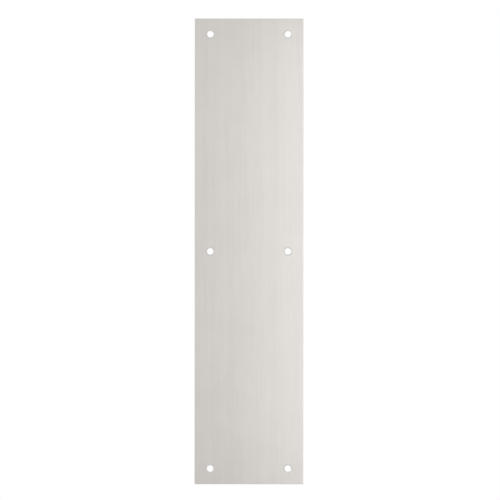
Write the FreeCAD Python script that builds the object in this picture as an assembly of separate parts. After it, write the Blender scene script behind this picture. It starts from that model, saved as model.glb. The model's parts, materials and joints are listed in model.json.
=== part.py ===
"""A door finger plate: one flat plate of sheet aluminium, screwed to a door where hands push it.

Millimetres. The plate stands as it hangs on the door: X runs across the door, Z runs up it, and the
front face looks towards -Y. The back face lies on the door, in the plane Y = 0, and the origin is at
that face's centre. The front edge is rounded over for the hand, the back edge is only deburred, and
each screw hole is countersunk from the front.
"""

import FreeCAD, Part
import math
import os

NODE = "finger_plate"

# Sheet: 3 1/2 in by 15 in, cut from 0.050 in sheet
PLATE_WIDTH = 88.9
PLATE_HEIGHT = 381.0
SHEET_THICKNESS = 1.27

# Edges: corners only just rounded, front rounded over, back deburred
CORNER_RADIUS = 0.6
FRONT_EDGE_RADIUS = 0.3
BACK_EDGE_CHAMFER = 0.1

# Screw holes: number 6 clearance, countersunk at the front, in columns across and rows up the plate
HOLE_DIAMETER = 5.3
COUNTERSINK_RIM = 0.9
COUNTERSINK_ANGLE = 82.0
SIDE_MARGIN = 12.7
END_MARGIN = 12.7
HOLE_COLUMNS = 2
HOLE_ROWS = 3

# A cutting tool runs this far past the face that it comes out of
OVERRUN = 1.0

# Two points closer than this along an axis are level
LEVEL = 1e-6

BACK_Y = 0.0
FRONT_Y = BACK_Y - SHEET_THICKNESS
HOLE_RADIUS = HOLE_DIAMETER / 2
MOUTH_RADIUS = HOLE_RADIUS + COUNTERSINK_RIM
FLARE = math.tan(math.radians(COUNTERSINK_ANGLE / 2))
COUNTERSINK_DEPTH = COUNTERSINK_RIM / FLARE

INTO_DOOR = FreeCAD.Vector(0, 1, 0)
FULL_TURN = 360


def edges_around_face(sheet, y):
    """The edges that outline the sheet's face in the plane at y."""
    return [e for e in sheet.Edges if all(abs(v.Y - y) < LEVEL for v in e.Vertexes)]


def edges_through_sheet(sheet):
    """The edges that run from the sheet's front face to its back face."""
    return [e for e in sheet.Edges if abs(e.Vertexes[0].Y - e.Vertexes[-1].Y) > LEVEL]


def blank():
    """The cut sheet with its corners, its rounded front edge and its deburred back edge."""
    lower_corner = FreeCAD.Vector(-PLATE_WIDTH / 2, FRONT_Y, -PLATE_HEIGHT / 2)
    sheet = Part.makeBox(PLATE_WIDTH, SHEET_THICKNESS, PLATE_HEIGHT, lower_corner)
    sheet = sheet.makeFillet(CORNER_RADIUS, edges_through_sheet(sheet))
    sheet = sheet.makeFillet(FRONT_EDGE_RADIUS, edges_around_face(sheet, FRONT_Y))
    return sheet.makeChamfer(BACK_EDGE_CHAMFER, edges_around_face(sheet, BACK_Y))


def screw_hole():
    """What one countersunk hole removes: a shank's cylinder, flaring into a cone at the front."""
    half_section = [
        (0, BACK_Y + OVERRUN),
        (HOLE_RADIUS, BACK_Y + OVERRUN),
        (HOLE_RADIUS, FRONT_Y + COUNTERSINK_DEPTH),
        (MOUTH_RADIUS + OVERRUN * FLARE, FRONT_Y - OVERRUN),
        (0, FRONT_Y - OVERRUN),
    ]
    corners = [FreeCAD.Vector(radius, y, 0) for radius, y in half_section]
    section = Part.Face(Part.makePolygon(corners + corners[:1]))
    return section.revolve(FreeCAD.Vector(), INTO_DOOR, FULL_TURN)


def spread(length, margin, count):
    """The places of count holes, evenly spaced between the margins at both ends of a length."""
    span = length - 2 * margin
    pitch = span / (count - 1)
    return [index * pitch - span / 2 for index in range(count)]


def screw_holes():
    """What all the screw holes remove, each at its place."""
    hole = screw_hole()
    return [
        hole.translated(FreeCAD.Vector(x, 0, z))
        for x in spread(PLATE_WIDTH, SIDE_MARGIN, HOLE_COLUMNS)
        for z in spread(PLATE_HEIGHT, END_MARGIN, HOLE_ROWS)
    ]


def finger_plate():
    """The whole plate as one solid."""
    return blank().cut(screw_holes()).Solids[0]


def main():
    """Builds the plate, writes its STEP file and prints what it measures."""
    os.makedirs("parts", exist_ok=True)
    plate = finger_plate()
    plate.exportStep(f"parts/{NODE}.step")
    box = plate.optimalBoundingBox()
    print(NODE, "valid" if plate.isValid() else "INVALID", f"faces {len(plate.Faces)}")
    print(f"box {box.XLength:.3f} x {box.YLength:.3f} x {box.ZLength:.3f} mm")
    print(f"volume {plate.Volume:.1f} mm3")


main()
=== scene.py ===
"""A door finger plate in satin aluminium, hung upright in front of a plain pale studio.

Metres. The plate is one piece. A geometry nodes tree grows it: it sweeps the section of the sheet's edge
round the outline and the section of a screw hole round a circle, sets the hole at each place of the screw
pattern, and fills the front and back between them. Each region of its surface then wears a metal finish of
its own: a satin brushed front, a mill finished back, a sheared edge and turned countersinks.
"""

import sys
import json
import logging
import math
from abc import ABC, abstractmethod
from dataclasses import dataclass
from enum import Enum
from typing import Any, ClassVar, Mapping, Sequence

import bpy
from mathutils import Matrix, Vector


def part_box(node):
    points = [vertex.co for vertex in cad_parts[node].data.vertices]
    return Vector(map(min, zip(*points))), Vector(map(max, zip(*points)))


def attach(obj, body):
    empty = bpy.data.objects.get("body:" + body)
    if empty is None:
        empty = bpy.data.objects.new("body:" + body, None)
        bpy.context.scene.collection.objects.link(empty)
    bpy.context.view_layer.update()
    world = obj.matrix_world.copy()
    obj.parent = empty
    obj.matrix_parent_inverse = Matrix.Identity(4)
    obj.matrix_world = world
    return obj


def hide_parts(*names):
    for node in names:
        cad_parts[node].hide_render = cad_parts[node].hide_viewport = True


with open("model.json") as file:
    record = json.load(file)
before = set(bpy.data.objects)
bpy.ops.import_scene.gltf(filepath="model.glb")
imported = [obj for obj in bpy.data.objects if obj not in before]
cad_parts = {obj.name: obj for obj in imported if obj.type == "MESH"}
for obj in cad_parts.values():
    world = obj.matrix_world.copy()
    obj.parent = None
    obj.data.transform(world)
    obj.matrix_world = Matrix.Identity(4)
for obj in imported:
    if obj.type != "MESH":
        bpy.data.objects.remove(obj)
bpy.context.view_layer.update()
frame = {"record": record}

log = logging.getLogger("finger_plate")

Colour = tuple[float, float, float]
Place = tuple[float, float, float]
Shares = Mapping[str, float]

MM = 0.001
HALF = 0.5
QUARTER_TURN = math.radians(90)
WHITE: Colour = (1.0, 1.0, 1.0)
OPAQUE = 1.0

NODE = "finger_plate"
BODY = "root"
PIECE = "brushed_plate"

# The attributes that the plate's mesh carries, and its map
REGION = "region"
FROM_AXIS = "from_axis"
UNFOLD = "unfold"
BAKE_MAP = "OFBake"

# The places of two axes in a point of the record, and the decimals that a place in millimetres has there
ACROSS = 0
UP = 2
PLACE_DECIMALS = 3


class Region(Enum):
    """The regions of the plate's surface, each with a finish of its own."""

    FRONT = 0
    BACK = 1
    EDGE = 2
    COUNTERSINK = 3


class Nodes:
    """One node tree, and short ways to add nodes to it and to reckon with their values."""

    def __init__(self, tree: bpy.types.NodeTree) -> None:
        """Takes over the tree that gets the nodes."""
        self.tree = tree

    def add(
        self,
        kind: str,
        inputs: Mapping[str | int, Any] | None = None,
        **settings: Any,
    ) -> bpy.types.Node:
        """Adds one node.

        Args:
            kind: the node's type.
            inputs: what goes into its sockets, by name or place: a number, a node, a socket or a Term.
            settings: the node's own properties.

        Returns:
            The node.
        """
        node = self.tree.nodes.new(kind)
        for name, value in settings.items():
            setattr(node, name, value)
        for key, value in (inputs or {}).items():
            self.feed(socket_of(node, key), value)
        return node

    def feed(self, socket: bpy.types.NodeSocket, value: Any) -> None:
        """Links or sets one input.

        Args:
            socket: the input.
            value: a number, a node, a socket or a Term.
        """
        if isinstance(value, Term):
            value = value.socket
        if isinstance(value, bpy.types.Node):
            value = first_output(value)
        if isinstance(value, bpy.types.NodeSocket):
            self.tree.links.new(value, socket)
        else:
            socket.default_value = value

    def term(self, source: bpy.types.Node | bpy.types.NodeSocket) -> "Term":
        """An output that can be reckoned with."""
        return Term(self, first_output(source) if isinstance(source, bpy.types.Node) else source)

    def output(self, node: bpy.types.Node, name: str) -> "Term":
        """The named output of a node that has several."""
        return Term(self, next(s for s in node.outputs if s.enabled and s.name == name))

    def math(self, operation: str, *values: Any) -> "Term":
        """The result of a Math node for these numbers."""
        return self.term(self.add("ShaderNodeMath", dict(enumerate(values)), operation=operation))

    def vector(self, operation: str, *values: Any) -> "Term":
        """The result of a Vector Math node for these vectors."""
        return self.term(self.add("ShaderNodeVectorMath", dict(enumerate(values)), operation=operation))

    def scaled(self, vector: Any, scale: Any) -> "Term":
        """A vector times a number."""
        return self.term(self.add("ShaderNodeVectorMath", {0: vector, "Scale": scale}, operation="SCALE"))

    def joined(self, x: Any = 0.0, y: Any = 0.0, z: Any = 0.0) -> "Term":
        """A vector of three numbers."""
        return self.term(self.add("ShaderNodeCombineXYZ", {"X": x, "Y": y, "Z": z}))

    def split(self, vector: Any) -> tuple["Term", "Term", "Term"]:
        """The three numbers of a vector."""
        node = self.add("ShaderNodeSeparateXYZ", {"Vector": vector})
        return tuple(self.term(s) for s in node.outputs)

    def noise(self, at: Any, cell: Any, detail: float) -> "Term":
        """Smooth noise from 0 to 1, whose blotches are about as large as a cell."""
        place = self.vector("DIVIDE", at, cell)
        return self.term(self.add("ShaderNodeTexNoise", {"Vector": place, "Scale": 1.0, "Detail": detail}))


class Term:
    """A value in a node tree. Sums and products of it are Math nodes."""

    def __init__(self, nodes: Nodes, socket: bpy.types.NodeSocket) -> None:
        """Names the tree that the value is in, and the output that gives it."""
        self.nodes = nodes
        self.socket = socket

    def __add__(self, other: Any) -> "Term":
        """The sum of two numbers."""
        return self.nodes.math("ADD", self, other)

    def __sub__(self, other: Any) -> "Term":
        """The difference of two numbers."""
        return self.nodes.math("SUBTRACT", self, other)

    def __rsub__(self, other: float) -> "Term":
        """A plain number less this one."""
        return self.nodes.math("SUBTRACT", other, self)

    def __mul__(self, other: Any) -> "Term":
        """The product of two numbers."""
        return self.nodes.math("MULTIPLY", self, other)

    def __truediv__(self, other: Any) -> "Term":
        """One number divided by another."""
        return self.nodes.math("DIVIDE", self, other)

    def __neg__(self) -> "Term":
        """The number with its sign turned."""
        return self * -1.0


def socket_of(node: bpy.types.Node, key: str | int) -> bpy.types.NodeSocket:
    """Finds an input.

    Args:
        node: the node that has it.
        key: its name among those in use, or its place.

    Returns:
        The input.
    """
    if isinstance(key, int):
        return node.inputs[key]
    return next(s for s in node.inputs if s.enabled and s.name == key)


def first_output(node: bpy.types.Node) -> bpy.types.NodeSocket:
    """The first output in use."""
    return next(s for s in node.outputs if s.enabled)


def new_socket(tree: bpy.types.NodeTree, name: str, kind: str, in_out: str = "INPUT") -> Any:
    """Gives a tree an input or output of its own."""
    return tree.interface.new_socket(name, in_out=in_out, socket_type=kind)


def emptied(owner: bpy.types.Material | bpy.types.World) -> Nodes:
    """Turns nodes on and clears away those that come with them.

    Args:
        owner: a new material or world.

    Returns:
        Its nodes.
    """
    owner.use_nodes = True
    owner.node_tree.nodes.clear()
    return Nodes(owner.node_tree)


def blend(layers: Mapping[str, Term], shares: Shares) -> Term:
    """Adds layers up, each with its share."""
    first, *others = [layers[name] * share for name, share in shares.items()]
    return sum(others, first)


def new_object(name: str, data: bpy.types.ID) -> bpy.types.Object:
    """Makes an object and puts it into the scene.

    Args:
        name: the object's name.
        data: its mesh, lamp or camera.

    Returns:
        The object.
    """
    made = bpy.data.objects.new(name, data)
    bpy.context.scene.collection.objects.link(made)
    return made


@dataclass(frozen=True)
class Size:
    """One named input of the plate's tree, and what the plate puts into it."""

    name: str
    kind: str
    value: Any


@dataclass(frozen=True)
class Corner:
    """One corner of a section: how far out from the path, how high above the back, and how it is rounded."""

    out: Any
    height: Any
    radius: Any = 0.0
    steps: int = 1


class PlateTree:
    """The geometry nodes tree that grows the plate, flat on its back and front up, and then stands it up."""

    # The steps in the outline's corners, in the rounded front edge, in a hole's eased mouth and round a hole
    CORNER_STEPS = 8
    ROUND_STEPS = 8
    EASED_STEPS = 3
    CIRCLE_STEPS = 96

    # Every section begins and ends with this much flat, and has about as much straight beside a round
    FLAT_RIM = 0.05 * MM

    # Points nearer than WELD become one, and a point within LEVEL of a flat is on it
    WELD = 0.001 * MM
    LEVEL = 0.01 * MM

    # How straight ahead or back the faces of the flats look, and the bend from which an edge is sharp
    FACING = 0.999
    SHARP = math.radians(30)

    # The map is a square of side 1: the margin round each half, its middle, the room beside the plate in
    # thicknesses, and how the back is turned round on it
    MAP_MARGIN = 0.01
    MAP_MIDDLE = 0.5
    MAP_OVERHANG = 2.0
    MIRRORED = (-1.0, 1.0, 1.0)

    # A new switch already has this many items
    SWITCH_ITEMS = 2

    def __init__(self, sizes: Sequence[Size]) -> None:
        """Builds the tree.

        Args:
            sizes: its inputs.
        """
        self.tree = bpy.data.node_groups.new("plate_from_sheet", "GeometryNodeTree")
        self.nodes = Nodes(self.tree)
        self.identifiers = {
            size.name: new_socket(self.tree, size.name, size.kind).identifier for size in sizes
        }
        new_socket(self.tree, "Geometry", "NodeSocketGeometry", in_out="OUTPUT")
        self.group = self.nodes.add("NodeGroupInput")
        self.build()

    def size(self, name: str) -> Term:
        """One of the tree's inputs."""
        return self.nodes.output(self.group, name)

    def build(self) -> None:
        """Adds all the nodes, from the outline to the finishes."""
        strips = self.join(self.edge_strip(), self.hole_strips())
        shell = self.join(strips, self.flat(strips, front=True), self.flat(strips, front=False))
        shell = self.nodes.add("GeometryNodeMergeByDistance", {"Geometry": shell, "Distance": self.WELD})
        shell = self.mark_flats(shell)
        shell = self.smooth(shell)
        shell = self.lay_out_map(shell)
        shell = self.stand_up(shell)
        self.dress(shell)

    def join(self, *parts: Any) -> bpy.types.Node:
        """Makes several meshes one.

        Args:
            parts: the meshes.

        Returns:
            The node that gives the one mesh.
        """
        node = self.nodes.add("GeometryNodeJoinGeometry")
        for part in reversed(parts):
            self.nodes.feed(socket_of(node, "Geometry"), part)
        return node

    def pick(self, kind: str, values: Sequence[Any]) -> bpy.types.Node:
        """Gives each point of a line a value of its own.

        Args:
            kind: the values' data type.
            values: one for each point, in order.

        Returns:
            The node that gives the value.
        """
        node = self.nodes.add("GeometryNodeIndexSwitch", data_type=kind)
        for _ in values[self.SWITCH_ITEMS:]:
            node.index_switch_items.new()
        self.nodes.feed(node.inputs["Index"], self.nodes.add("GeometryNodeInputIndex"))
        for place, value in enumerate(values):
            self.nodes.feed(node.inputs[str(place)], value)
        return node

    def section(self, corners: Sequence[Corner]) -> bpy.types.Node:
        """Draws a line across the sheet, from the front to the back.

        Args:
            corners: its corners, in order.

        Returns:
            The node that gives the line.
        """
        line = self.nodes.add("GeometryNodeCurvePrimitiveLine")
        line = self.nodes.add("GeometryNodeResampleCurve", {"Curve": line, "Count": len(corners)})
        places = self.pick("VECTOR", [self.nodes.joined(corner.out, corner.height) for corner in corners])
        line = self.nodes.add("GeometryNodeSetPosition", {"Geometry": line, "Position": places})
        radius = self.pick("FLOAT", [corner.radius for corner in corners])
        steps = self.pick("INT", [corner.steps for corner in corners])
        rounding = {"Curve": line, "Radius": radius, "Count": steps}
        return self.nodes.add("GeometryNodeFilletCurve", rounding, mode="POLY")

    def capture(self, geometry: Any, **values: Any) -> tuple[bpy.types.Node, list[Term]]:
        """Keeps values on a curve's points, so that they can be read once it is swept.

        Args:
            geometry: the curve.
            values: a vector or number for each name.

        Returns:
            The node that gives the curve, and the kept values.
        """
        node = self.nodes.add("GeometryNodeCaptureAttribute", {"Geometry": geometry})
        for name, value in values.items():
            kind = "VECTOR" if value.socket.type == "VECTOR" else "FLOAT"
            node.capture_items.new(kind, name)
            self.nodes.feed(node.inputs[name], value)
        return node, [self.nodes.output(node, name) for name in values]

    def sweep(self, path: Any, section: Any, start: Any, inner: Any, grows: float) -> bpy.types.Node:
        """Sweeps a section round a path, and keeps how far each point has to move to lie flat on the map.

        Args:
            path: a closed line in the plane of the back.
            section: from section().
            start: how far out from the path the section starts.
            inner: half the width and height of the box that the path's round corners are struck from.
            grows: 1 where the section unrolls away from the path's middle, and -1 where towards it.

        Returns:
            The node that gives the strip, with the movement stored on its points.
        """
        nodes = self.nodes
        place = nodes.term(nodes.add("GeometryNodeInputPosition"))
        struck_from = nodes.vector("MAXIMUM", place, nodes.scaled(inner, -1.0))
        struck_from = nodes.vector("MINIMUM", struck_from, inner)
        outward = nodes.vector("NORMALIZE", nodes.vector("SUBTRACT", place, struck_from))
        path, (centre, out) = self.capture(path, centre=place, out=outward)
        run = nodes.output(nodes.add("GeometryNodeSplineParameter"), "Length")
        across, height, _ = nodes.split(place)
        slip = run * grows + start - across
        section, (across, height, slip) = self.capture(section, across=across, height=height, slip=slip)
        strip = nodes.add("GeometryNodeCurveToMesh", {"Curve": path, "Profile Curve": section})
        moved = nodes.vector("ADD", centre, nodes.scaled(out, across))
        moved = nodes.vector("ADD", moved, nodes.joined(z=height))
        strip = nodes.add("GeometryNodeSetPosition", {"Geometry": strip, "Position": moved})
        return self.store(strip, UNFOLD, nodes.scaled(out, slip), "FLOAT_VECTOR", "POINT")

    def store(
        self, geometry: Any, name: str, value: Any, kind: str, domain: str, **more: Any
    ) -> bpy.types.Node:
        """Stores a named attribute on a mesh, or only on a Selection of it."""
        inputs = {"Geometry": geometry, "Name": name, "Value": value} | more
        return self.nodes.add("GeometryNodeStoreNamedAttribute", inputs, data_type=kind, domain=domain)

    def mark(self, geometry: Any, region: Region, **more: Any) -> bpy.types.Node:
        """Marks the faces of a mesh, or only a Selection of them, as one region."""
        return self.store(geometry, REGION, region.value, "INT", "FACE", **more)

    def named(self, name: str, kind: str) -> Term:
        """A named attribute's value."""
        reading = self.nodes.add("GeometryNodeInputNamedAttribute", {"Name": name}, data_type=kind)
        return self.nodes.term(reading)

    def compare(self, operation: str, a: Any, b: Any, kind: str = "FLOAT") -> Term:
        """Whether one value is greater than, less than or equal to another."""
        settings = {"operation": operation, "data_type": kind}
        return self.nodes.term(self.nodes.add("FunctionNodeCompare", {"A": a, "B": b}, **settings))

    def is_in(self, region: Region) -> Term:
        """Whether a face is in a region."""
        return self.compare("EQUAL", self.named(REGION, "INT"), region.value, "INT")

    def edge_strip(self) -> bpy.types.Node:
        """Makes the edge all round the sheet: rounded over at the front, deburred at the back.

        Returns:
            The node that gives the edge.
        """
        width, height, thickness = self.size("Width"), self.size("Height"), self.size("Thickness")
        corner, over = self.size("Corner Radius"), self.size("Front Edge Radius")
        burr = self.size("Back Chamfer")
        path = self.nodes.add("GeometryNodeCurvePrimitiveQuadrilateral", {"Width": width, "Height": height})
        rounding = {"Curve": path, "Radius": corner, "Count": self.CORNER_STEPS}
        path = self.nodes.add("GeometryNodeFilletCurve", rounding, mode="POLY")
        start = -(over + self.FLAT_RIM)
        section = self.section(
            [
                Corner(start, thickness),
                Corner(0.0, thickness, over, self.ROUND_STEPS),
                Corner(0.0, thickness - over - self.FLAT_RIM),
                Corner(0.0, burr + self.FLAT_RIM),
                Corner(0.0, 0.0, burr),
                Corner(-(burr + self.FLAT_RIM), 0.0),
            ]
        )
        inner = self.nodes.joined(width / 2.0 - corner, height / 2.0 - corner)
        return self.mark(self.sweep(path, section, start, inner, grows=1.0), Region.EDGE)

    def hole_strip(self) -> bpy.types.Node:
        """Makes the wall of one screw hole: its eased mouth, its cone and the land behind it.

        Returns:
            The node that gives the wall, which faces inwards.
        """
        nodes = self.nodes
        thickness, land, eased = self.size("Thickness"), self.size("Land"), self.size("Eased Edge")
        hole, mouth = self.size("Hole Radius"), self.size("Mouth Radius")
        circle = {"Resolution": self.CIRCLE_STEPS, "Radius": mouth}
        path = nodes.add("GeometryNodeCurvePrimitiveCircle", circle)
        start = eased + self.FLAT_RIM
        reach, depth = mouth - hole, thickness - land
        near = start / nodes.math("SQRT", reach * reach + depth * depth)
        section = self.section(
            [
                Corner(start, thickness),
                Corner(0.0, thickness, eased, self.EASED_STEPS),
                Corner(-(reach * near), thickness - depth * near),
                Corner(-reach, land),
                Corner(-reach, 0.0, eased),
                Corner(-reach + start, 0.0),
            ]
        )
        strip = self.sweep(path, section, start, nodes.joined(), grows=-1.0)
        x, y, _ = nodes.split(nodes.add("GeometryNodeInputPosition"))
        from_axis = nodes.math("SQRT", x * x + y * y)
        strip = self.store(strip, FROM_AXIS, from_axis, "FLOAT", "POINT")
        return nodes.add("GeometryNodeFlipFaces", {"Mesh": self.mark(strip, Region.COUNTERSINK)})

    def hole_strips(self) -> bpy.types.Node:
        """Sets the screw hole at each place of the pattern.

        Returns:
            The node that gives the walls of all the holes.
        """
        pattern = {
            "Size X": self.size("Columns Span"),
            "Size Y": self.size("Rows Span"),
            "Vertices X": self.size("Columns"),
            "Vertices Y": self.size("Rows"),
        }
        setting = {"Points": self.nodes.add("GeometryNodeMeshGrid", pattern), "Instance": self.hole_strip()}
        holes = self.nodes.add("GeometryNodeInstanceOnPoints", setting)
        return self.nodes.add("GeometryNodeRealizeInstances", {"Geometry": holes})

    def flat(self, strips: Any, front: bool) -> bpy.types.Node:
        """Fills the flat that the strips leave open on one side of the sheet.

        Args:
            strips: the edge and the holes.
            front: whether it is the front flat and not the back one.

        Returns:
            The node that gives the flat.
        """
        nodes = self.nodes
        _, _, z = nodes.split(nodes.add("GeometryNodeInputPosition"))
        thickness = self.size("Thickness")
        borders = nodes.add("GeometryNodeInputMeshEdgeNeighbors")
        loose = self.compare("EQUAL", borders, 1, "INT")
        level = thickness if front else 0.0
        near = self.compare("LESS_THAN", nodes.math("ABSOLUTE", z - level), self.LEVEL)
        both = nodes.add("FunctionNodeBooleanMath", {0: loose, 1: near}, operation="AND")
        rims = nodes.add("GeometryNodeMeshToCurve", {"Mesh": strips, "Selection": both})
        filled = nodes.add("GeometryNodeFillCurve", {"Curve": rims}, mode="TRIANGLES")
        if not front:
            return nodes.add("GeometryNodeFlipFaces", {"Mesh": filled})
        return nodes.add("GeometryNodeSetPosition", {"Geometry": filled, "Offset": nodes.joined(z=thickness)})

    def mark_flats(self, shell: Any) -> bpy.types.Node:
        """Marks every face that looks straight ahead or back as front or back.

        Args:
            shell: the plate's mesh.

        Returns:
            The node that gives the marked mesh.
        """
        _, _, facing = self.nodes.split(self.nodes.add("GeometryNodeInputNormal"))
        ahead = self.compare("GREATER_THAN", facing, self.FACING)
        behind = self.compare("LESS_THAN", facing, -self.FACING)
        shell = self.mark(shell, Region.FRONT, Selection=ahead)
        return self.mark(shell, Region.BACK, Selection=behind)

    def smooth(self, shell: Any) -> bpy.types.Node:
        """Shades all faces smooth, up to the edges that are really sharp.

        Args:
            shell: the plate's mesh.

        Returns:
            The node that gives the smooth mesh.
        """
        angle = self.nodes.output(self.nodes.add("GeometryNodeInputMeshEdgeAngle"), "Unsigned Angle")
        sharp = self.compare("GREATER_THAN", angle, self.SHARP)
        smoothed = {"Geometry": shell, "Shade Smooth": True}
        shell = self.nodes.add("GeometryNodeSetShadeSmooth", smoothed, domain="FACE")
        parted = {"Geometry": shell, "Selection": sharp, "Shade Smooth": False}
        return self.nodes.add("GeometryNodeSetShadeSmooth", parted, domain="EDGE")

    def lay_out_map(self, shell: Any) -> bpy.types.Node:
        """Lays the surface out on a square map.

        The front is on the left half, with its edge and countersinks unrolled, and the back on the right.

        Args:
            shell: the plate's mesh, lying flat.

        Returns:
            The node that gives the mesh with its map.
        """
        nodes = self.nodes
        place = nodes.term(nodes.add("GeometryNodeInputPosition"))
        back = self.is_in(Region.BACK)
        unrolled = nodes.vector("ADD", place, self.named(UNFOLD, "FLOAT_VECTOR"))
        turned = nodes.vector("MULTIPLY", place, self.MIRRORED)
        sides = {"Switch": back, "False": unrolled, "True": turned}
        x, y, _ = nodes.split(nodes.add("GeometryNodeSwitch", sides, input_type="VECTOR"))
        halves = {"Switch": back, "False": 0.0, "True": self.MAP_MIDDLE}
        left = nodes.add("GeometryNodeSwitch", halves, input_type="FLOAT")
        overhang = self.size("Thickness") * self.MAP_OVERHANG
        wide, tall = self.MAP_MIDDLE - 2 * self.MAP_MARGIN, 1.0 - 2 * self.MAP_MARGIN
        u = (x / (self.size("Width") + overhang) + HALF) * wide + self.MAP_MARGIN + left
        v = (y / (self.size("Height") + overhang) + HALF) * tall + self.MAP_MARGIN
        return self.store(shell, BAKE_MAP, nodes.joined(u, v), "FLOAT2", "CORNER")

    def stand_up(self, shell: Any) -> bpy.types.Node:
        """Turns the plate upright, with its front towards -Y and its back in the plane Y = 0.

        Args:
            shell: the plate's mesh, lying flat.

        Returns:
            The node that gives the mesh upright.
        """
        turning = {"Axis": (1.0, 0.0, 0.0), "Angle": QUARTER_TURN}
        upright = self.nodes.add("FunctionNodeAxisAngleToRotation", turning)
        shell = self.nodes.add("GeometryNodeTransform", {"Geometry": shell, "Rotation": upright})
        return self.nodes.add("GeometryNodeRemoveAttribute", {"Geometry": shell, "Name": UNFOLD})

    def dress(self, shell: Any) -> None:
        """Gives each region its finish. The front's goes on everywhere first.

        Args:
            shell: the plate's mesh.
        """
        shell = self.nodes.add("GeometryNodeRealizeInstances", {"Geometry": shell})
        for region in Region:
            painting = {"Geometry": shell, "Material": self.size(finish_name(region))}
            if region is not Region.FRONT:
                painting["Selection"] = self.is_in(region)
            shell = self.nodes.add("GeometryNodeSetMaterial", painting)
        self.nodes.add("NodeGroupOutput", {"Geometry": shell})


def finish_name(region: Region) -> str:
    """The name of the tree's input for a region's finish."""
    return f"{region.name.title()} Finish"


@dataclass
class FingerPlate:
    """The plate itself: a sheet with rounded edges and a pattern of countersunk screw holes."""

    width: float
    height: float
    thickness: float
    hole_radius: float
    land: float
    columns: int
    rows: int
    columns_span: float
    rows_span: float
    corner_radius: float = 0.6 * MM
    front_edge_radius: float = 0.3 * MM
    back_chamfer: float = 0.1 * MM
    eased_edge: float = 0.06 * MM
    countersink_angle: float = math.radians(82)

    @classmethod
    def from_frame(cls, record: Mapping[str, Any]) -> "FingerPlate":
        """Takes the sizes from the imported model.

        Args:
            record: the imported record.

        Returns:
            The plate, not yet built.
        """
        low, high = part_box(NODE)
        across, deep, up = high - low
        bores = [mount for mount in record["mounts"] if mount["kind"] == "bore"]
        columns, rows = cls.places(bores, ACROSS), cls.places(bores, UP)
        return cls(
            width=across,
            height=up,
            thickness=deep,
            hole_radius=bores[0]["dims"]["r_mm"] * MM,
            land=bores[0]["dims"]["length_mm"] * MM,
            columns=len(columns),
            rows=len(rows),
            columns_span=columns[-1] - columns[0],
            rows_span=rows[-1] - rows[0],
        )

    @staticmethod
    def places(bores: Sequence[Mapping[str, Any]], axis: int) -> list[float]:
        """The different places that the bores have along an axis, in order."""
        return sorted({round(bore["pos_m"][axis] / MM, PLACE_DECIMALS) * MM for bore in bores})

    @property
    def mouth_radius(self) -> float:
        """The radius of a countersink where it meets the front."""
        return self.hole_radius + (self.thickness - self.land) * math.tan(self.countersink_angle / 2)

    def sizes(self, finishes: Mapping[Region, bpy.types.Material]) -> list[Size]:
        """Lists what the plate puts into its tree.

        Args:
            finishes: the material of each region.

        Returns:
            The tree's inputs.
        """
        lengths = {
            "Width": self.width,
            "Height": self.height,
            "Thickness": self.thickness,
            "Corner Radius": self.corner_radius,
            "Front Edge Radius": self.front_edge_radius,
            "Back Chamfer": self.back_chamfer,
            "Hole Radius": self.hole_radius,
            "Mouth Radius": self.mouth_radius,
            "Land": self.land,
            "Eased Edge": self.eased_edge,
            "Columns Span": self.columns_span,
            "Rows Span": self.rows_span,
        }
        counts = {"Columns": self.columns, "Rows": self.rows}
        return [
            *(Size(name, "NodeSocketFloat", value) for name, value in lengths.items()),
            *(Size(name, "NodeSocketInt", value) for name, value in counts.items()),
            *(Size(finish_name(region), "NodeSocketMaterial", finishes[region]) for region in Region),
        ]

    def build(self, finishes: Mapping[Region, bpy.types.Material]) -> bpy.types.Object:
        """Grows the plate, makes it a plain mesh and sets it in the frame.

        Args:
            finishes: the material of each region.

        Returns:
            The piece.
        """
        sizes = self.sizes(finishes)
        tree = PlateTree(sizes)
        piece = new_object(PIECE, bpy.data.meshes.new(PIECE))
        grow = piece.modifiers.new("grow", "NODES")
        grow.node_group = tree.tree
        for size in sizes:
            grow[tree.identifiers[size.name]] = size.value
        depsgraph = bpy.context.evaluated_depsgraph_get()
        grown = piece.evaluated_get(depsgraph)
        mesh = bpy.data.meshes.new_from_object(grown, preserve_all_data_layers=True, depsgraph=depsgraph)
        piece.modifiers.remove(grow)
        mesh.materials.pop(index=list(mesh.materials).index(None))
        piece.data = mesh
        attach(piece, BODY)
        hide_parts(NODE)
        return piece


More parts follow.
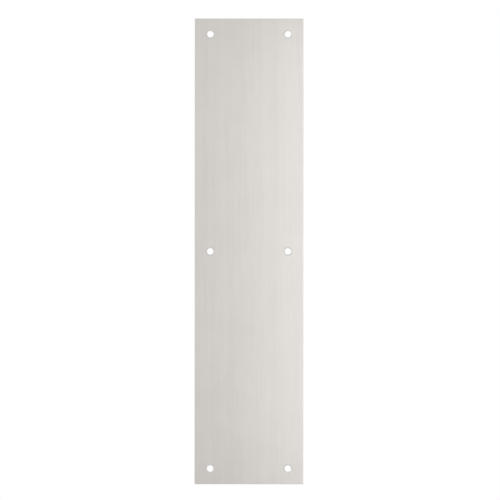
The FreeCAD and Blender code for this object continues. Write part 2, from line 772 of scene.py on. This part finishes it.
class Grain:
    """Two shader node groups that the metal finishes share, each built once."""

    # The fineness of the detail in each noise, and how much coarser the wide lines are than the fine ones
    FINE_DETAIL = 2.0
    WIDE_DETAIL = 3.0
    CLOUD_DETAIL = 3.0
    COARSER = 4.0

    def __init__(self) -> None:
        """Builds both groups."""
        self.lines = self.line_group()
        self.clouds = self.cloud_group()

    @staticmethod
    def started(
        name: str, inputs: Mapping[str, tuple[str, Any]], outputs: Sequence[str]
    ) -> tuple[Nodes, bpy.types.Node]:
        """Starts a group.

        Args:
            name: the group's name.
            inputs: each input's socket type and usual value.
            outputs: the names of its outputs, which are all plain numbers.

        Returns:
            Its nodes, and the node that gives its inputs.
        """
        tree = bpy.data.node_groups.new(name, "ShaderNodeTree")
        for title, (kind, usual) in inputs.items():
            socket = new_socket(tree, title, kind)
            if usual is not None:
                socket.default_value = usual
        for title in outputs:
            new_socket(tree, title, "NodeSocketFloat", in_out="OUTPUT")
        nodes = Nodes(tree)
        return nodes, nodes.add("NodeGroupInput")

    def line_group(self) -> bpy.types.NodeTree:
        """Makes long fine lines that run up the plate, as a belt leaves them: Fine ones and Wide ones.

        Returns:
            The group.
        """
        inputs = {
            "Vector": ("NodeSocketVector", None),
            "Width": ("NodeSocketFloat", 0.3 * MM),
            "Length": ("NodeSocketFloat", 30 * MM),
            "Slant": ("NodeSocketFloat", 0.0),
        }
        nodes, group = self.started("brushed_lines", inputs, ("Fine", "Wide"))
        width, length = nodes.output(group, "Width"), nodes.output(group, "Length")
        x, y, z = nodes.split(nodes.output(group, "Vector"))
        leaned = nodes.joined(x + z * nodes.output(group, "Slant"), y, z)
        fine = nodes.noise(leaned, nodes.joined(width, width, length), self.FINE_DETAIL)
        broad, long = width * self.COARSER, length * self.COARSER
        wide = nodes.noise(leaned, nodes.joined(broad, broad, long), self.WIDE_DETAIL)
        nodes.add("NodeGroupOutput", {"Fine": fine, "Wide": wide})
        return nodes.tree

    def cloud_group(self) -> bpy.types.NodeTree:
        """Makes soft patches with no direction, from 0 to 1, more or less marked.

        Returns:
            The group.
        """
        inputs = {
            "Vector": ("NodeSocketVector", None),
            "Patch": ("NodeSocketFloat", 20 * MM),
            "Contrast": ("NodeSocketFloat", 1.0),
        }
        nodes, group = self.started("soft_patches", inputs, ("Mask",))
        patch = nodes.output(group, "Patch")
        cell = nodes.joined(patch, patch, patch)
        cloud = nodes.noise(nodes.output(group, "Vector"), cell, self.CLOUD_DETAIL)
        mask = (cloud - HALF) * nodes.output(group, "Contrast") + HALF
        nodes.add("NodeGroupOutput", {"Mask": nodes.add("ShaderNodeClamp", {"Value": mask})})
        return nodes.tree


@dataclass(frozen=True)
class Metal(ABC):
    """A metal finish, whose layers go from 0 to 1.

    TONE says how the layers make the colour, from deep to pale, ROUGHNESS how they make the gloss, from
    smoothest to roughest, and HEIGHT how they make the relief.
    """

    TONE: ClassVar[Shares]
    ROUGHNESS: ClassVar[Shares]
    HEIGHT: ClassVar[Shares]

    grain: Grain
    name: str
    pale: Colour
    deep: Colour
    smoothest: float
    roughest: float
    relief: float
    anisotropy: float = 0.0

    @abstractmethod
    def layers(self, nodes: Nodes, at: Term) -> dict[str, Term]:
        """Makes what varies over the surface.

        Args:
            nodes: the material's nodes.
            at: the piece's own coordinates.

        Returns:
            The layers by name.
        """

    def lines(
        self,
        nodes: Nodes,
        at: Term,
        width: float,
        length: float,
        slant: float = 0.0,
    ) -> tuple[Term, Term]:
        """Places the group of brushed lines.

        Args:
            nodes: the material's nodes.
            at: the coordinates.
            width: a fine line's width.
            length: a fine line's length.
            slant: how far the lines lean for each unit up.

        Returns:
            The fine lines and the wide ones.
        """
        inputs = {"Vector": at, "Width": width, "Length": length, "Slant": slant}
        node = nodes.add("ShaderNodeGroup", inputs, node_tree=self.grain.lines)
        return nodes.output(node, "Fine"), nodes.output(node, "Wide")

    def clouds(self, nodes: Nodes, at: Term, patch: float, contrast: float) -> Term:
        """Places the group of soft patches, of one size and more or less marked."""
        inputs = {"Vector": at, "Patch": patch, "Contrast": contrast}
        return nodes.output(nodes.add("ShaderNodeGroup", inputs, node_tree=self.grain.clouds), "Mask")

    def material(self) -> bpy.types.Material:
        """Builds the finish.

        Returns:
            The material.
        """
        material = bpy.data.materials.new(self.name)
        nodes = emptied(material)
        layers = self.layers(nodes, nodes.output(nodes.add("ShaderNodeTexCoord"), "Object"))
        tones = {"Factor": blend(layers, self.TONE), "A": (*self.deep, OPAQUE), "B": (*self.pale, OPAQUE)}
        relief = {"Strength": 1.0, "Distance": self.relief, "Height": blend(layers, self.HEIGHT)}
        span = self.roughest - self.smoothest
        shader = {
            "Base Color": nodes.output(nodes.add("ShaderNodeMix", tones, data_type="RGBA"), "Result"),
            "Metallic": 1.0,
            "Roughness": blend(layers, self.ROUGHNESS) * span + self.smoothest,
            "Normal": nodes.add("ShaderNodeBump", relief),
            "Anisotropic": self.anisotropy,
        }
        if self.anisotropy:
            shader["Tangent"] = nodes.add("ShaderNodeTangent", direction_type="UV_MAP", uv_map=BAKE_MAP)
        surface = nodes.add("ShaderNodeBsdfPrincipled", shader)
        nodes.add("ShaderNodeOutputMaterial", {"Surface": surface})
        return material


@dataclass(frozen=True)
class SatinFront(Metal):
    """The front: brushed up and down with a fine belt, in near parallel lines, with faint broad bands."""

    TONE = {"fine": 0.26, "crossed": 0.18, "wide": 0.2, "band": 0.22, "patches": 0.14}
    ROUGHNESS = {"fine": 0.4, "wide": 0.3, "patches": 0.3}
    HEIGHT = {"fine": 0.5, "crossed": 0.3, "wide": 0.2}

    line_width: float = 0.28 * MM
    line_length: float = 32 * MM
    crossed_wider: float = 1.6
    crossed_shorter: float = 2.0
    crossed_slant: float = 0.012
    band_width: float = 2.2 * MM
    band_length: float = 260 * MM
    patch: float = 26 * MM
    patch_contrast: float = 1.6

    def layers(self, nodes: Nodes, at: Term) -> dict[str, Term]:
        """Makes the lines, those that cross them, the bands and the patches.

        Args:
            nodes: the material's nodes.
            at: the piece's own coordinates.

        Returns:
            The layers by name.
        """
        fine, wide = self.lines(nodes, at, self.line_width, self.line_length)
        width, length = self.line_width * self.crossed_wider, self.line_length / self.crossed_shorter
        crossed, _ = self.lines(nodes, at, width, length, self.crossed_slant)
        _, band = self.lines(nodes, at, self.band_width, self.band_length)
        patches = self.clouds(nodes, at, self.patch, self.patch_contrast)
        return {"fine": fine, "crossed": crossed, "wide": wide, "band": band, "patches": patches}


@dataclass(frozen=True)
class MillBack(Metal):
    """The back: left as the sheet was rolled, smoother than the front, with faint roll lines."""

    TONE = {"fine": 0.35, "wide": 0.4, "patches": 0.25}
    ROUGHNESS = {"wide": 0.4, "patches": 0.6}
    HEIGHT = {"fine": 0.6, "wide": 0.4}

    line_width: float = 0.7 * MM
    line_length: float = 90 * MM
    patch: float = 14 * MM
    patch_contrast: float = 1.5

    def layers(self, nodes: Nodes, at: Term) -> dict[str, Term]:
        """Makes the roll lines and the patches.

        Args:
            nodes: the material's nodes.
            at: the piece's own coordinates.

        Returns:
            The layers by name.
        """
        fine, wide = self.lines(nodes, at, self.line_width, self.line_length)
        patches = self.clouds(nodes, at, self.patch, self.patch_contrast)
        return {"fine": fine, "wide": wide, "patches": patches}


@dataclass(frozen=True)
class ShearedEdge(Metal):
    """The edge: bright where the blade burnished it, dull and grainy where the sheet broke off behind."""

    TONE = {"burnished": 0.5, "scores": 0.25, "speckles": 0.25}
    ROUGHNESS = {"broken": 0.6, "speckles": 0.25, "scores": 0.15}
    HEIGHT = {"grit": 1.0, "drag": 0.4}

    broken_height: float = 0.42 * MM
    border: float = 0.12 * MM
    border_wander: float = 0.22 * MM
    border_patch: float = 1.4 * MM
    border_contrast: float = 1.5
    speckle: float = 0.1 * MM
    speckle_contrast: float = 2.5
    score_width: float = 0.12 * MM
    score_length: float = 12 * MM
    score_detail: float = 2.0

    def layers(self, nodes: Nodes, at: Term) -> dict[str, Term]:
        """Makes the burnished band in front, the broken band behind, and the marks on each.

        Args:
            nodes: the material's nodes.
            at: the piece's own coordinates.

        Returns:
            The layers by name.
        """
        _, y, _ = nodes.split(at)
        uneven = self.clouds(nodes, at, self.border_patch, self.border_contrast)
        from_back = -y + (uneven - HALF) * self.border_wander
        burnished_from = self.broken_height + self.border
        ramp = {"Value": from_back, "From Min": self.broken_height, "From Max": burnished_from}
        burnished = nodes.term(nodes.add("ShaderNodeMapRange", ramp, interpolation_type="SMOOTHSTEP"))
        broken = 1.0 - burnished
        speckles = self.clouds(nodes, at, self.speckle, self.speckle_contrast)
        cell = nodes.joined(self.score_width, self.score_length, self.score_width)
        scores = nodes.noise(at, cell, self.score_detail)
        return {
            "burnished": burnished,
            "broken": broken,
            "speckles": speckles,
            "scores": scores,
            "grit": speckles * broken,
            "drag": scores * burnished,
        }


@dataclass(frozen=True)
class TurnedCountersink(Metal):
    """The countersinks: bare bright metal with the fine rings that the turning cutter leaves."""

    RINGS: ClassVar[Shares] = {"turns": 0.7, "ragged": 0.3}
    TONE = {"rings": 0.4, "patches": 0.6}
    ROUGHNESS = {"rings": 0.6, "patches": 0.4}
    HEIGHT = {"rings": 1.0}

    ring: float = 0.11 * MM
    ring_wander: float = 0.6
    patch: float = 1.1 * MM
    patch_contrast: float = 1.8
    rag: float = 0.16 * MM
    rag_contrast: float = 1.5

    def layers(self, nodes: Nodes, at: Term) -> dict[str, Term]:
        """Makes the ragged rings and the patches.

        Args:
            nodes: the material's nodes.
            at: the piece's own coordinates.

        Returns:
            The layers by name.
        """
        out = nodes.output(nodes.add("ShaderNodeAttribute", attribute_name=FROM_AXIS), "Fac")
        patches = self.clouds(nodes, at, self.patch, self.patch_contrast)
        wave = nodes.math("SINE", (out / self.ring + patches * self.ring_wander) * math.tau)
        parts = {"turns": wave * HALF + HALF, "ragged": self.clouds(nodes, at, self.rag, self.rag_contrast)}
        return {"rings": blend(parts, self.RINGS), "patches": patches}


def plate_finishes() -> dict[Region, bpy.types.Material]:
    """Builds the four finishes of the plate.

    Returns:
        The material of each region.
    """
    grain = Grain()
    finishes: dict[Region, Metal] = {
        Region.FRONT: SatinFront(
            grain=grain,
            name="satin_front",
            pale=(0.843, 0.82, 0.793),
            deep=(0.585, 0.569, 0.548),
            smoothest=0.39,
            roughest=0.51,
            relief=0.008 * MM,
            anisotropy=0.5,
        ),
        Region.BACK: MillBack(
            grain=grain,
            name="mill_back",
            pale=(0.79, 0.78, 0.76),
            deep=(0.66, 0.65, 0.635),
            smoothest=0.26,
            roughest=0.4,
            relief=0.01 * MM,
            anisotropy=0.25,
        ),
        Region.EDGE: ShearedEdge(
            grain=grain,
            name="sheared_edge",
            pale=(0.77, 0.757, 0.73),
            deep=(0.55, 0.54, 0.52),
            smoothest=0.26,
            roughest=0.6,
            relief=0.02 * MM,
        ),
        Region.COUNTERSINK: TurnedCountersink(
            grain=grain,
            name="turned_countersink",
            pale=(0.905, 0.89, 0.87),
            deep=(0.78, 0.765, 0.742),
            smoothest=0.24,
            roughest=0.36,
            relief=0.006 * MM,
        ),
    }
    made = {region: finish.material() for region, finish in finishes.items()}
    for material in made.values():
        log.info("finish %s: %d nodes", material.name, len(material.node_tree.nodes))
    return made


@dataclass(frozen=True)
class Softbox:
    """One soft studio lamp, which the camera doesn't see."""

    name: str
    place: Place
    aim: Place
    width: float
    height: float
    power: float
    colour: Colour = WHITE

    def build(self) -> None:
        """Sets the lamp up."""
        light = bpy.data.lights.new(self.name, "AREA")
        light.shape = "RECTANGLE"
        light.size, light.size_y = self.width, self.height
        light.energy, light.color = self.power, self.colour
        lamp = new_object(self.name, light)
        lamp.location = self.place
        lamp.rotation_euler = (Vector(self.aim) - Vector(self.place)).to_track_quat("-Z", "Y").to_euler()
        lamp.visible_camera = False
        log.info("lamp %s: %.3f W", self.name, self.power)


@dataclass
class Studio:
    """Everything round the plate: a surround, soft lamps, a pale floor far below, and the camera."""

    # The photograph's side, and the plate in it, in pixels
    picture: float = 500.0
    plate_height_in_picture: float = 465.7
    plate_centre_in_picture: tuple[float, float] = (249.0, 251.4)
    plate_lean_in_picture: float = math.radians(0.03)

    # The camera's lens and sensor, in millimetres
    lens: float = 120.0
    sensor: float = 36.0

    # How bright the camera sees the surround, how bright metal does, and how bright it lights matt things
    surround_seen: float = 1.0
    surround_in_metal: float = 0.68
    surround_on_matt: float = 0.6

    floor_below: float = 1.1
    floor_radius: float = 3.0
    floor_steps: int = 128
    floor_roughness: float = 0.9
    floor_colour: Colour = (0.86, 0.855, 0.845)

    def build(self, plate: FingerPlate) -> None:
        """Builds the studio.

        Args:
            plate: what the camera looks at.
        """
        self.surround()
        for softbox in self.softboxes():
            softbox.build()
        self.floor()
        self.camera(plate)

    @staticmethod
    def softboxes() -> list[Softbox]:
        """Lists the lamps: a tall key near on the right, a warm fill on the left, and a tall one behind.

        Returns:
            The lamps, not yet built.
        """
        return [
            Softbox(
                name="tall_key",
                place=(0.12, -0.26, 0.0),
                aim=(0.048, 0.0, 0.0),
                width=0.08,
                height=0.52,
                power=0.262,
            ),
            Softbox(
                name="warm_fill",
                place=(-0.5, -0.35, 0.1),
                aim=(0.0, 0.0, 0.0),
                width=0.4,
                height=0.7,
                power=0.76,
                colour=(1.0, 0.83, 0.66),
            ),
            Softbox(
                name="tall_behind",
                place=(0.17, 0.32, 0.05),
                aim=(0.05, 0.0, 0.0),
                width=0.14,
                height=0.5,
                power=0.26,
            ),
        ]

    def surround(self) -> None:
        """Puts a surround about everything, white to the camera and a pale grey to metal."""
        world = bpy.data.worlds.new("surround")
        bpy.context.scene.world = world
        nodes = emptied(world)
        strength = self.glow(nodes, self.surround_on_matt) + self.surround_on_matt
        light = nodes.add("ShaderNodeBackground", {"Color": (*WHITE, OPAQUE), "Strength": strength})
        nodes.add("ShaderNodeOutputWorld", {"Surface": light})

    def glow(self, nodes: Nodes, lit: float) -> Term:
        """Works out what a background has to add to its own light, for each kind of ray.

        Args:
            nodes: the background's nodes.
            lit: how bright it is by itself.

        Returns:
            The strength that it glows with.
        """
        path = nodes.add("ShaderNodeLightPath")
        seen, through = nodes.output(path, "Is Camera Ray"), nodes.output(path, "Is Transmission Ray")
        clear = nodes.math("MAXIMUM", seen, through)
        in_metal = nodes.output(path, "Is Glossy Ray") * (self.surround_in_metal - lit)
        return clear * (self.surround_seen - lit) + in_metal

    def floor(self) -> None:
        """Lays a plain round floor, just white to the camera where nothing shades it."""
        material = bpy.data.materials.new("pale_floor")
        nodes = emptied(material)
        shader = {
            "Base Color": (*self.floor_colour, OPAQUE),
            "Roughness": self.floor_roughness,
            "Specular IOR Level": 0.0,
            "Emission Color": (*WHITE, OPAQUE),
            "Emission Strength": self.glow(nodes, min(self.floor_colour) * self.surround_on_matt),
        }
        surface = nodes.add("ShaderNodeBsdfPrincipled", shader)
        nodes.add("ShaderNodeOutputMaterial", {"Surface": surface})
        turns = [math.tau * step / self.floor_steps for step in range(self.floor_steps)]
        radius = self.floor_radius
        rim = [(radius * math.cos(turn), radius * math.sin(turn), -self.floor_below) for turn in turns]
        mesh = bpy.data.meshes.new("floor")
        mesh.from_pydata(rim, [], [range(self.floor_steps)])
        mesh.materials.append(material)
        new_object("floor", mesh)

    def camera(self, plate: FingerPlate) -> None:
        """Sets the camera square on to the plate, so far off that the plate is as large as in the photograph.

        Args:
            plate: what it looks at.
        """
        scale = plate.height / self.plate_height_in_picture
        away = scale * self.picture * self.lens / self.sensor
        centre_x, centre_y = self.plate_centre_in_picture
        right = (self.picture / 2 - centre_x) * scale
        up = (centre_y - self.picture / 2) * scale
        data = bpy.data.cameras.new("camera")
        data.lens, data.sensor_width = self.lens, self.sensor
        camera = new_object("camera", data)
        camera.location = (right, -plate.thickness - away, up)
        camera.rotation_euler = (QUARTER_TURN, -self.plate_lean_in_picture, 0.0)
        bpy.context.scene.camera = camera
        log.info("camera %.3f m in front of the plate", away)


def main() -> None:
    """Builds the plate and its studio."""
    logging.basicConfig(level=logging.INFO, format="%(name)s: %(message)s", stream=sys.stdout)
    bpy.context.scene.view_settings.view_transform = "Standard"
    plate = FingerPlate.from_frame(frame["record"])
    piece = plate.build(plate_finishes())
    log.info("%s: %d faces, %d finishes", piece.name, len(piece.data.polygons), len(piece.data.materials))
    Studio().build(plate)


if __name__ == "__main__":
    main()
